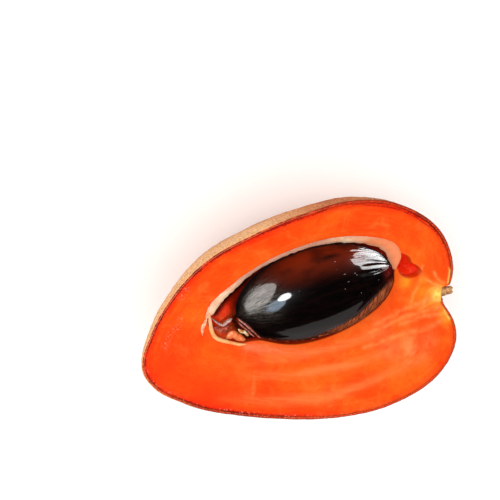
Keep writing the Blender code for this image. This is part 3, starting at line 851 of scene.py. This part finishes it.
def make_seed():
    rows, sides = 220, 320
    along = -np.cos(np.linspace(0.012, math.pi - 0.012, rows))[:, None]
    turn = np.arange(sides)[None, :] / sides * 2 * math.pi
    along, turn = np.broadcast_arrays(along, turn)
    radius = SEED_RADIUS * np.sqrt(1 - along**2)
    round_place = seed_place(along, turn, radius)
    middle = SCAR_DIRECTION + SCAR_TWIST * along
    signed = ((turn - middle + math.pi) % (2 * math.pi) - math.pi) * radius
    off_scar = np.abs(signed)
    edge = SCAR_HALF_WIDTH * (1 - np.abs(along) ** 6) + 0.35 * noise(round_place, 3.0, 101)
    inside = 1 / (1 + np.exp((off_scar - edge) / SCAR_EDGE_SOFTNESS))
    rim = bell(off_scar - edge, SCAR_RIM_WIDTH) * (1 - along**8)
    radius = radius + SCAR_RIM_HEIGHT * rim - SCAR_DROP * inside
    # Ribs across the scar's rim, and long grooves that run to the seed's ends.
    slanted = SEED_HALF_LENGTH * along + RIB_SLANT * signed
    ribs = np.sin(slanted * 2 * math.pi / RIB_SPACING + 3.2 * noise(round_place, 2.6, 103))
    band = bell(off_scar - edge + 1.0, 1.6)
    scar_lumps = SCAR_ROUGHNESS * inside * rough_noise(round_place, 1.8, 3, 105)
    radius = radius + RIB_HEIGHT * band * ribs + scar_lumps
    groove_place = stacked(5 * along, 9 * np.cos(turn), 9 * np.sin(turn))
    ends = step(0.45, 0.95, np.abs(along))
    grooves = rough_noise(groove_place, 1.6, 3, 107)
    smooth = 1 - inside
    pale_edge = edge - SCAR_DARK_SHOULDER * step(-0.1, 0.35, along)
    pale_scar = 1 / (1 + np.exp((off_scar - pale_edge) / SCAR_EDGE_SOFTNESS))
    pale_band = bell(off_scar - pale_edge + 1.0, 1.6)
    radius = radius - smooth * (0.03 + 0.26 * ends) * (0.5 + 0.5 * grooves) * np.sqrt(1 - along**2)
    # Deeper grooves where the seed's stem end catches the light.
    turned = (np.degrees(turn) + 180) % 360 - 180
    creased = step(0.38, 0.56, along) * bell(turned - 40, 32)
    crease_place = stacked(3.2 * along, 16 * np.cos(turn), 16 * np.sin(turn))
    creases = np.maximum(0, rough_noise(crease_place, 2.2, 3, 111))
    main_crease = bell(turned - 51, 3.2) * step(0.5, 0.62, along) * step(1.0, 0.88, along)
    radius = radius - smooth * (CREASE_DEPTH * creased * creases + MAIN_CREASE_DEPTH * main_crease)
    radius = radius - smooth * 0.05 * (1 + noise(round_place, 7.0, 109))
    grid = seed_place(along, turn, np.minimum(radius, SEED_RADIUS))
    # A warm brown band on the seed's upper side: a painted reflection of the orange flesh, which the seed
    # doesn't mirror.
    painted_flesh_reflection = step(-60, -10, turned) * step(64, 16, turned)
    painted_flesh_reflection = painted_flesh_reflection * step(-0.85, -0.10, along) * step(0.85, 0.45, along)
    blob = bell(along - 0.20, 0.15) * bell(turned - 25, 5)
    red_end = step(0.74, 0.88, along) * step(40, 62, turned) * step(112, 92, turned)
    # Grey streaks at the seed's pointed end: partly the coat's dull bloom, partly a painted soft highlight.
    bloom_and_painted_highlight = bell(along + 0.74, 0.17) * bell(turned - 48, 30)
    masks = {
        "scar": pale_scar,
        "scar_band": pale_band * step(-0.25, 0.2, along),
        "scar_shade": inside * step(0.25, -0.2, along),
        "hatch": stacked(slanted, 0.16 * signed, 0.0),
        "dark_line": bell(off_scar - edge - 1.3, 0.6) * step(-0.97, -0.6, along),
        "painted_flesh_reflection": painted_flesh_reflection,
        "blob": blob,
        "flecks": np.maximum(
            step(0.34, 0.62, along) * bell(turned - 22, 34),
            0.62 * step(-0.50, -0.72, along) * bell(turned - 48, 44),
        ),
        "red_end": red_end,
        "bloom_and_painted_highlight": bloom_and_painted_highlight,
        "flow": stacked(4 * along, 10 * np.cos(turn), 10 * np.sin(turn)),
        "ends": ends,
    }
    piece = make_mesh("seed_fine", grid, seed_look(), masks)
    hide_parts("seed")


def seed_look():
    look = Look("seed_look", IOR=1.5, Specular_IOR_Level=0.06, Coat_Roughness=0.05, Coat_IOR=1.6)
    flow = look.vector("flow")
    streak = look.noise(0.9, 5.0, 0.6, flow)
    hair = look.noise(0.42, 4.0, 0.65, flow)
    look.paint((5, 1, 1))
    look.paint((18, 4, 2), look.band(streak, 0.4, 0.7))
    # Painted reflection of the orange flesh on the seed's upper side.
    look.daub((118, 32, 5), "painted_flesh_reflection", 0.95, look.noise(0.009, 4.0), 0.30, 0.60, 0.45)
    look.paint((30, 10, 6), look.mask("blob"), 0.9)
    look.paint((104, 10, 3), look.mask("red_end"), 0.8)
    # Grey streaks at the pointed end: partly the coat's dull bloom, partly a painted highlight.
    look.daub((128, 120, 110), "bloom_and_painted_highlight", 0.75, hair, 0.36, 0.66)
    hatch = look.noise(0.62, 3.0, 0.6, look.vector("hatch"), distortion=0.5)
    band_colour = look.mix(look.band(hatch, 0.40, 0.62), (100, 26, 9), (192, 100, 50))
    look.paint(band_colour, look.mask("scar_band"))
    look.paint(band_colour, look.mask("scar"), 0.75)
    spots = look.mix(look.band(look.noise(0.0022, 3.0), 0.52, 0.64), (60, 12, 5), (190, 84, 28))
    look.paint(spots, look.mask("scar_shade"), 0.9)
    look.paint((30, 8, 4), look.mask("dark_line"), 0.85)
    matt = look.math("MAXIMUM", look.mask("scar_band"), look.mask("scar"))
    fleck = look.noise(0.55, 4.0, 0.7, flow, distortion=1.2)
    fleck = look.times(look.band(fleck, 0.50, 0.58), look.mask("flecks"))
    dull = look.plus(look.times(matt, 0.8), look.times(fleck, 0.75))
    look.feed(look.shader.inputs["Coat Weight"], look.math("SUBTRACT", 0.9, dull, True))
    roughness = look.band(matt, 0.0, 1.0, 0.30, 0.65)
    normal = look.bump(streak, 0.00016, 0.30)
    pits = look.times(look.band(look.cells(0.0034), 0.10, 0.04), look.band(look.noise(0.01), 0.5, 0.6))
    ridges = look.bump(look.times(hair, look.band(look.mask("ends"), 0.0, 0.8, 0.08, 1.0)), 0.00009, 1.0)
    look.feed(look.shader.inputs["Coat Normal"], look.bump(pits, 0.0003, 0.8, ridges))
    return look.finish(roughness, normal)


def lining_look():
    look = Look(
        "lining_look", IOR=1.42, Specular_IOR_Level=0.2, Coat_Weight=0.25, Coat_Roughness=0.2,
        Subsurface_Weight=0.4, Subsurface_Scale=0.002, Subsurface_Radius=(1.0, 0.5, 0.3),
    )
    blotch = look.noise(0.0035, 3.0)
    look.paint((270, 222, 184))
    look.paint((266, 190, 150), look.band(blotch, 0.35, 0.65))
    look.paint((202, 146, 124), look.mask("grey"), 0.85)
    look.paint((272, 146, 92), look.mask("hood"), 0.92)
    look.paint((255, 230, 206), look.mask("edge"), 0.4)
    fine = look.noise(0.0008, 3.0)
    look.paint((240, 140, 100), look.band(fine, 0.5, 0.7), 0.22)
    shade = look.mask("shade")
    look.paint((96, 30, 18), shade, 0.85)
    normal = look.bump(fine, 0.0002, 0.5)
    return look.finish(look.band(fine, 0.3, 0.7, 0.50, 0.32), normal)


def off_wall(turn, depth, inset, lift):
    """Points beside the cavity's wall, at a depth down it, set in from it and lifted."""
    point = cavity_wall(turn, depth / CAVITY_DEPTH)
    inward = unit((CAVITY_CENTRE - point) * np.array((1, 1, 0)))
    return point + inward * np.asarray(inset)[..., None] + stacked(0 * turn, 0.0, lift)


def make_membrane():
    """The lining from the pointed end of the cavity to the hood over the seed's stem end."""
    steps = 560
    degrees = np.linspace(176, 1, steps)
    turn = np.radians(degrees)
    directions, lips, walls = np.array(MEMBRANE_SECTIONS, float)[::-1].T
    lip = np.interp(degrees, directions, lips) - 0.45 * step(160, 135, degrees) * step(60, 84, degrees)
    wall = np.interp(degrees, directions, walls)
    line = stacked(degrees * 0.5, 0.0, 0.0)
    torn = rough_noise(line, 5.0, 4, 121)
    lip = lip * (1 + 0.18 * torn) + 0.25 * rough_noise(line, 1.2, 2, 123)
    fade = step(1, 3, degrees) * step(176, 173.5, degrees)
    lip = 0.35 + (lip - 0.35) * fade
    thick = MEMBRANE_THICKNESS * (0.55 + 0.45 * fade)
    lift = MEMBRANE_LIFT + 0.12 * rough_noise(line, 3.0, 2, 125)
    edge_lift = lift - MEMBRANE_SLOPE * lip
    corner_lift = lift - MEMBRANE_SLOPE * thick - thick
    foot = 1.5 * MEMBRANE_GAP
    ragged = step(120, 150, degrees) * np.maximum(0, 0.4 + rough_noise(line, 2.6, 3, 127))
    outer_edge = -0.55 - 0.45 * ragged
    corners = [
        off_wall(turn, wall, foot, 0.0),
        off_wall(turn, 0.6, MEMBRANE_GAP - 0.1, 0.0),
        off_wall(turn, 0.0, MEMBRANE_GAP - 0.15, 0.16),
        off_wall(turn, 0.0, outer_edge, 0.34),
        off_wall(turn, 0.0, MEMBRANE_GAP + 0.5 * lip, 0.5 * (lift + edge_lift) + 0.12),
        off_wall(turn, 0.0, MEMBRANE_GAP + lip, edge_lift),
        off_wall(turn, 0.0, MEMBRANE_GAP + lip, edge_lift - 0.45 * thick),
        off_wall(turn, 0.0, MEMBRANE_GAP + 0.5 * lip, 0.5 * (edge_lift + corner_lift) - 0.3 * thick),
        off_wall(turn, 0.0, MEMBRANE_GAP + thick, corner_lift),
        off_wall(turn, wall * 0.5, foot + 0.8 * thick, 0.0),
        off_wall(turn, wall, foot + 0.5 * thick, 0.0),
    ]
    loop = np.stack(corners + corners[:1], axis=1)
    samples = 44
    at = np.linspace(0, len(corners), samples, endpoint=False)
    i = at.astype(int)
    u = (at - i)[None, :, None]
    before = loop[:, (i - 1) % len(corners)]
    after = loop[:, (i + 2) % len(corners)]
    start, end = loop[:, i], loop[:, i + 1]
    grid = 0.5 * (
        2 * start + (end - before) * u * 0.7
        + (2 * before - 5 * start + 4 * end - after) * u**2 * 0.7
        + (3 * start - before - 3 * end + after) * u**3 * 0.7
    ) + 0.5 * (2 * (end - start) * (3 * u**2 - 2 * u**3) * 0.3)
    wrinkle_place = stacked(degrees[:, None] * 0.55, 0.25 * grid[..., 2], 0.0)
    grid = grid + 0.10 * rough_noise(wrinkle_place, 1.3, 3, 131)[..., None] * grid_normals(grid)
    grid = grid + 0.05 * rough_noise(grid, 0.9, 2, 133)[..., None] * grid_normals(grid)
    masks = {
        "hood": step(62, 40, degrees)[:, None],
        "grey": (step(148, 125, degrees) * step(60, 80, degrees))[:, None],
        "edge": bell(at - 5.5, 0.8)[None, :],
        "shade": step(7.3, 8.2, at)[None, :],
    }
    piece = make_mesh("lining", grid, lining_look(), masks)
    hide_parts("membrane")


def make_strip(name, look, route, half_widths, half_heights, count=120, sides=24, uneven=0.15, seed=0):
    """A soft strip along a smooth route, tapered to both ends, of half sizes given evenly along it."""
    path = smooth_path(route, count)
    forward = unit(np.gradient(path, axis=0))
    sideways = unit(np.cross(forward, np.array((0, 0, 1.0))))
    upward = np.cross(sideways, forward)
    at = np.linspace(0, 1, count)
    wide = np.interp(at, np.linspace(0, 1, len(half_widths)), half_widths)
    high = np.interp(at, np.linspace(0, 1, len(half_heights)), half_heights)
    taper = np.sqrt(np.clip(1 - (2 * at - 1) ** 8, 0.02, 1))
    turn = np.arange(sides) / sides * 2 * math.pi
    grid = (
        path[:, None]
        + sideways[:, None] * (wide * taper)[:, None, None] * np.cos(turn)[None, :, None]
        + upward[:, None] * (high * taper)[:, None, None] * np.sin(turn)[None, :, None]
    )
    size = np.minimum(wide, high)[:, None, None]
    grid = grid + uneven * size * rough_noise(grid, 1.1, 3, seed)[..., None] * grid_normals(grid)
    return make_mesh(name, grid, look, {"along": at[:, None]})


def strand_look():
    look = Look(
        "strand_look", IOR=1.42, Specular_IOR_Level=0.4,
        Subsurface_Weight=0.4, Subsurface_Scale=0.002, Subsurface_Radius=(1.0, 0.5, 0.2),
    )
    patch = look.noise(0.003, 3.0)
    look.paint((255, 196, 132))
    look.paint((250, 160, 92), look.band(patch, 0.35, 0.65))
    look.paint((246, 190, 156), look.band(look.mask("along"), 0.45, 0.05, 0.0, 0.6))
    fine = look.noise(0.0006, 3.0)
    return look.finish(look.band(fine, 0.3, 0.7, 0.5, 0.35), look.bump(fine, 0.0002, 0.5))


def torn_look(name, light, dark):
    look = Look(
        name, IOR=1.40, Specular_IOR_Level=0.4, Coat_Weight=0.3, Coat_Roughness=0.15,
        Subsurface_Weight=0.3, Subsurface_Scale=0.002, Subsurface_Radius=(1.0, 0.3, 0.1),
    )
    fine = look.noise(0.0012, 4.0, 0.6)
    look.paint(light)
    look.paint(dark, look.band(fine, 0.38, 0.62))
    return look.finish(look.band(fine, 0.3, 0.7, 0.45, 0.28), look.bump(fine, 0.0003, 0.5))


def seen(*points):
    """Moves points given as they are seen in the plane of the cut to their own heights, along the view."""
    points = np.array(points, float)
    return points + points[:, 2:] * np.array(CAMERA_BACK) / CAMERA_BACK[2] * (1, 1, 0)


def make_torn_end():
    """What is left in the cavity's pointed end: a strand, a film, torn flesh and the seed's thin coat."""
    route = seen(
        (-40.8, 14.2, 0.5), (-41.0, 11.7, 0.6), (-41.2, 9.4, 0.6), (-41.3, 7.3, 0.6), (-41.0, 5.2, 0.6),
        (-40.0, 3.0, 0.6), (-37.9, 1.3, 0.6), (-35.4, -0.2, 0.6), (-31.6, -2.3, 0.5), (-28.6, -3.2, 0.4),
    )
    widths = (0.45, 0.6, 0.75, 0.8, 0.8, 0.8, 0.75, 0.7, 0.65, 0.55)
    make_strip("loose_strand", strand_look(), route, widths, (0.5, 0.6, 0.6, 0.5), seed=141)

    look = torn_look("slit_look", (255, 206, 176), (255, 150, 104))
    route = seen(
        (-42.1, 12.4, 0.05), (-43.0, 10.9, 0.1), (-44.2, 9.4, 0.1), (-45.0, 7.5, 0.1), (-45.3, 5.6, 0.05),
    )
    widths = (0.25, 0.6, 0.75, 0.6, 0.2)
    make_strip("pale_slit", look, route, widths, (0.2, 0.26, 0.2), seed=149)

    look = torn_look("film_look", (236, 200, 194), (190, 142, 136))
    route = seen(
        (-40.3, 11.6, -2.6), (-39.1, 9.7, -3.0), (-38.0, 8.5, -3.2), (-36.6, 7.5, -3.3), (-35.2, 7.9, -3.3),
        (-33.8, 8.5, -3.2), (-32.3, 9.0, -3.0),
    )
    widths = (0.25, 0.35, 0.4, 0.45, 0.6, 0.65, 0.5)
    make_strip("film_ridge", look, route, widths, (0.9, 1.2, 1.0), seed=143)

    look = torn_look("pink_look", (226, 124, 96), (184, 66, 42))
    route = seen(
        (-40.1, 7.6, -4.0), (-38.8, 5.8, -3.9), (-37.4, 4.9, -3.8), (-35.8, 5.4, -4.0), (-33.8, 6.2, -4.4),
    )
    widths = (0.9, 1.6, 1.5, 1.1, 0.6)
    make_strip("torn_pink", look, route, widths, (0.5, 0.7, 0.5), 120, 40, 0.3, 151)

    look = torn_look("torn_look", (266, 166, 102), (256, 118, 58))
    route = seen(
        (-36.2, 1.3, -1.7), (-34.7, 2.0, -1.2), (-33.1, 2.5, -0.9), (-31.5, 1.0, -1.1), (-29.9, -0.5, -1.4),
        (-28.6, -1.5, -1.8),
    )
    widths = (0.7, 1.2, 1.6, 1.5, 1.2, 0.6)
    make_strip("torn_flesh", look, route, widths, (0.7, 1.2, 1.2, 0.7), 150, 48, 0.16, 145)

    look = torn_look("cream_look", (255, 242, 200), (232, 158, 96))
    route = seen(
        (-30.6, 4.1, -0.3), (-29.6, 2.9, 0.25), (-28.5, 2.1, 0.3), (-27.8, 1.3, 0.1), (-27.2, 0.0, -0.5),
    )
    widths = (0.3, 0.65, 0.9, 0.7, 0.3)
    make_strip("cream_tear", look, route, widths, (0.35, 0.6, 0.4), 120, 32, 0.75, 153)

    look = torn_look("coat_look", (206, 124, 108), (120, 50, 40))
    route = (
        (-30.3, 9.8, 2.3), (-29.9, 9.4, 4.1), (-28.5, 8.1, 6.9), (-27.0, 6.1, 8.1), (-25.4, 3.5, 8.1),
        (-23.6, 0.9, 7.6),
    )
    widths = (0.25, 0.4, 0.45, 0.4, 0.3, 0.15)
    make_strip("seed_coat_edge", look, route, widths, (0.3, 0.4, 0.25), seed=147)
    route = ((-30.4, 7.9, 1.8), (-29.7, 7.0, 3.8), (-28.4, 5.6, 5.6), (-27.0, 3.4, 6.2), (-25.8, 1.6, 6.0))
    widths = (0.2, 0.35, 0.35, 0.2)
    make_strip("seed_coat_fold", look, route, widths, (0.3, 0.35, 0.25), seed=155)


def stub_look():
    look = Look("stub_look", IOR=1.45, Specular_IOR_Level=0.25)
    fibre = look.noise(0.0010, 4.0, 0.6, stretch=(0.18, 1.0, 1.0))
    look.paint((214, 160, 104))
    look.paint((142, 84, 44), look.band(fibre, 0.36, 0.62))
    look.paint((236, 190, 134), look.band(look.noise(0.0012, 3.0), 0.55, 0.7))
    return look.finish(look.band(fibre, 0.3, 0.7, 0.9, 0.65), look.bump(fibre, 0.0004, 0.8))


def make_stub():
    rows, sides = 90, 120
    along = np.linspace(0, 1, rows)[:, None]
    turn = np.arange(sides)[None, :] / sides * 2 * math.pi
    along, turn = np.broadcast_arrays(along, turn)
    rounded = stacked(4 * along, np.cos(turn) * 2, np.sin(turn) * 2)
    fibres = rough_noise(rounded, 0.55, 3, 151)
    radius = STUB_RADIUS * (1 - 0.12 * along) * (0.93 + 0.07 * np.sin(3 * turn + 5 * along) + 0.09 * fibres)
    radius = np.minimum(radius, STUB_RADIUS * 1.06) * (1 - 0.35 * step(0.86, 1.0, along))
    broken = 0.5 * along**4 * np.sin(2 * turn + 1) + 0.7 * along**6 * fibres
    length = STUB_OUTER_REACH - STUB_INNER_REACH - STUB_HIDDEN - 0.6
    reach = np.minimum(STUB_INNER_REACH + STUB_HIDDEN + length * along + broken, STUB_OUTER_REACH)
    out, side = compass(STEM_DIRECTION), compass(STEM_SIDE)
    grid = out * reach[..., None] + side * (radius * np.cos(turn))[..., None]
    grid[..., 2] = radius * np.sin(turn) - STUB_AXIS_DROP
    piece = make_mesh("stem_stub_fine", grid, stub_look(), None, 50.0)
    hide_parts("stem_stub")


# Studio

FLOOR_REACH = 3.0
FLOOR_GAP = 0.00005
SKY_STRENGTH = 1.16
MIRRORED_SKY_STRENGTH = 0.008

# The key light, and panels that only show as reflections on the seed: the point that each faces in
# millimetres, azimuth, elevation and roll in degrees, distance, width and height in metres, brightness
# and colour.
KEY_PANEL = ((0, 0, 0), 140, 50, 0, 0.9, 0.5, 0.5, 3.6, (1.0, 0.98, 0.95))
MIRRORED_PANELS = {
    "seed_left": ((-21.9, 18.2, 9.4), 144.6, 4, 12, 0.32, 0.41, 0.36, 4.0, (1.0, 0.98, 0.94)),
    "seed_window": ((-12.5, 16.5, 15.2), 126, 49, 30, 0.40, 0.12, 0.10, 17.0, (0.93, 0.97, 1.0)),
    "seed_window_low": ((-17.0, 15.5, 14.6), 156, 51, -10, 0.40, 0.23, 0.15, 4.2, (0.62, 0.80, 1.0)),
    "seed_right": ((25.4, 22.4, 8.7), 28, -16, 72, 0.32, 0.42, 0.25, 7.0, (1, 1, 1)),
    "seed_below": ((11.0, 5.0, 17.5), -72, 16, 0, 0.40, 0.66, 0.36, 0.36, (1.0, 0.92, 0.92)),
}


def make_floor():
    mesh = bpy.data.meshes.new("floor")
    corners = [(x * FLOOR_REACH, y * FLOOR_REACH, 0) for x, y in ((-1, -1), (1, -1), (1, 1), (-1, 1))]
    mesh.from_pydata(corners, [], [(0, 1, 2, 3)])
    look = Look("floor_look", Roughness=1.0, Specular_IOR_Level=0.0)
    grain = look.noise(0.02, 2.0)
    look.paint(look.mix(grain, (0.96, 0.96, 0.96, 1), (0.98, 0.98, 0.98, 1)))
    mesh.materials.append(look.finish())
    floor = bpy.data.objects.new("floor", mesh)
    floor.location.z = -FLOOR_GAP
    floor.visible_glossy = False
    bpy.context.scene.collection.objects.link(floor)


def make_world():
    """White light for matt surfaces, and dark surroundings in what glossy surfaces mirror."""
    world = bpy.data.worlds.new("studio")
    world.use_nodes = True
    bpy.context.scene.world = world
    nodes, links = world.node_tree.nodes, world.node_tree.links
    sky = nodes["Background"]
    sky.inputs["Color"].default_value = (1.0, 0.985, 0.965, 1)
    sky.inputs["Strength"].default_value = SKY_STRENGTH
    dark = nodes.new("ShaderNodeBackground")
    dark.inputs["Color"].default_value = (0.9, 0.95, 1.0, 1)
    dark.inputs["Strength"].default_value = MIRRORED_SKY_STRENGTH
    rays = nodes.new("ShaderNodeLightPath")
    choose = nodes.new("ShaderNodeMixShader")
    links.new(rays.outputs["Is Glossy Ray"], choose.inputs["Fac"])
    links.new(sky.outputs["Background"], choose.inputs[1])
    links.new(dark.outputs["Background"], choose.inputs[2])
    links.new(choose.outputs["Shader"], nodes["World Output"].inputs["Surface"])


def make_panel(name, aim, azimuth, elevation, roll, distance, width, height, brightness, colour):
    """A soft round panel that faces a point in millimetres. Its power grows with its size."""
    light = bpy.data.lights.new(name, "AREA")
    light.shape = "ELLIPSE"
    light.size = width
    light.size_y = height
    light.energy = brightness * math.pi * width * height
    light.color = colour
    panel = bpy.data.objects.new(name, light)
    az, el = math.radians(azimuth), math.radians(elevation)
    away = Vector((math.cos(el) * math.cos(az), math.cos(el) * math.sin(az), math.sin(el)))
    panel.location = (Vector(aim) + Vector((0, 0, CUT_HEIGHT))) * MM + away * distance
    turned = away.to_track_quat("Z", "Y") @ Quaternion((0, 0, 1), math.radians(roll))
    panel.rotation_euler = turned.to_euler()
    panel.visible_camera = False
    bpy.context.scene.collection.objects.link(panel)
    return panel


def make_lights():
    """One soft key light for everything but the seed's reflections, and the panels for those."""
    make_world()
    key = make_panel("key", *KEY_PANEL)
    key.data.shape = "RECTANGLE"
    key.visible_glossy = False
    for name, values in MIRRORED_PANELS.items():
        make_panel(name, *values).visible_diffuse = False


def make_camera():
    lens = bpy.data.cameras.new("camera")
    lens.lens = CAMERA_LENS
    lens.sensor_width = CAMERA_SENSOR
    back, right = Vector(CAMERA_BACK).normalized(), Vector(CAMERA_RIGHT).normalized()
    up = back.cross(right).normalized()
    camera = bpy.data.objects.new("camera", lens)
    turned = Matrix((right, up, back)).transposed().to_4x4()
    camera.matrix_world = Matrix.Translation(CAMERA_PLACE) @ turned
    bpy.context.scene.collection.objects.link(camera)
    bpy.context.scene.camera = camera


# Pieces that the seed doesn't mirror, so that its sides stay black as in the photo.
NOT_MIRRORED = (
    "flesh_fine", "skin_fine", "lining", "loose_strand", "film_ridge", "torn_pink", "torn_flesh",
)

make_camera()
make_floor()
make_lights()
make_flesh()
make_skin()
make_seed()
make_membrane()
make_torn_end()
make_stub()
for piece in bpy.context.scene.objects:
    if piece.type == "MESH" and piece.name in NOT_MIRRORED:
        piece.visible_glossy = False
bpy.context.scene.view_settings.view_transform = "Standard"
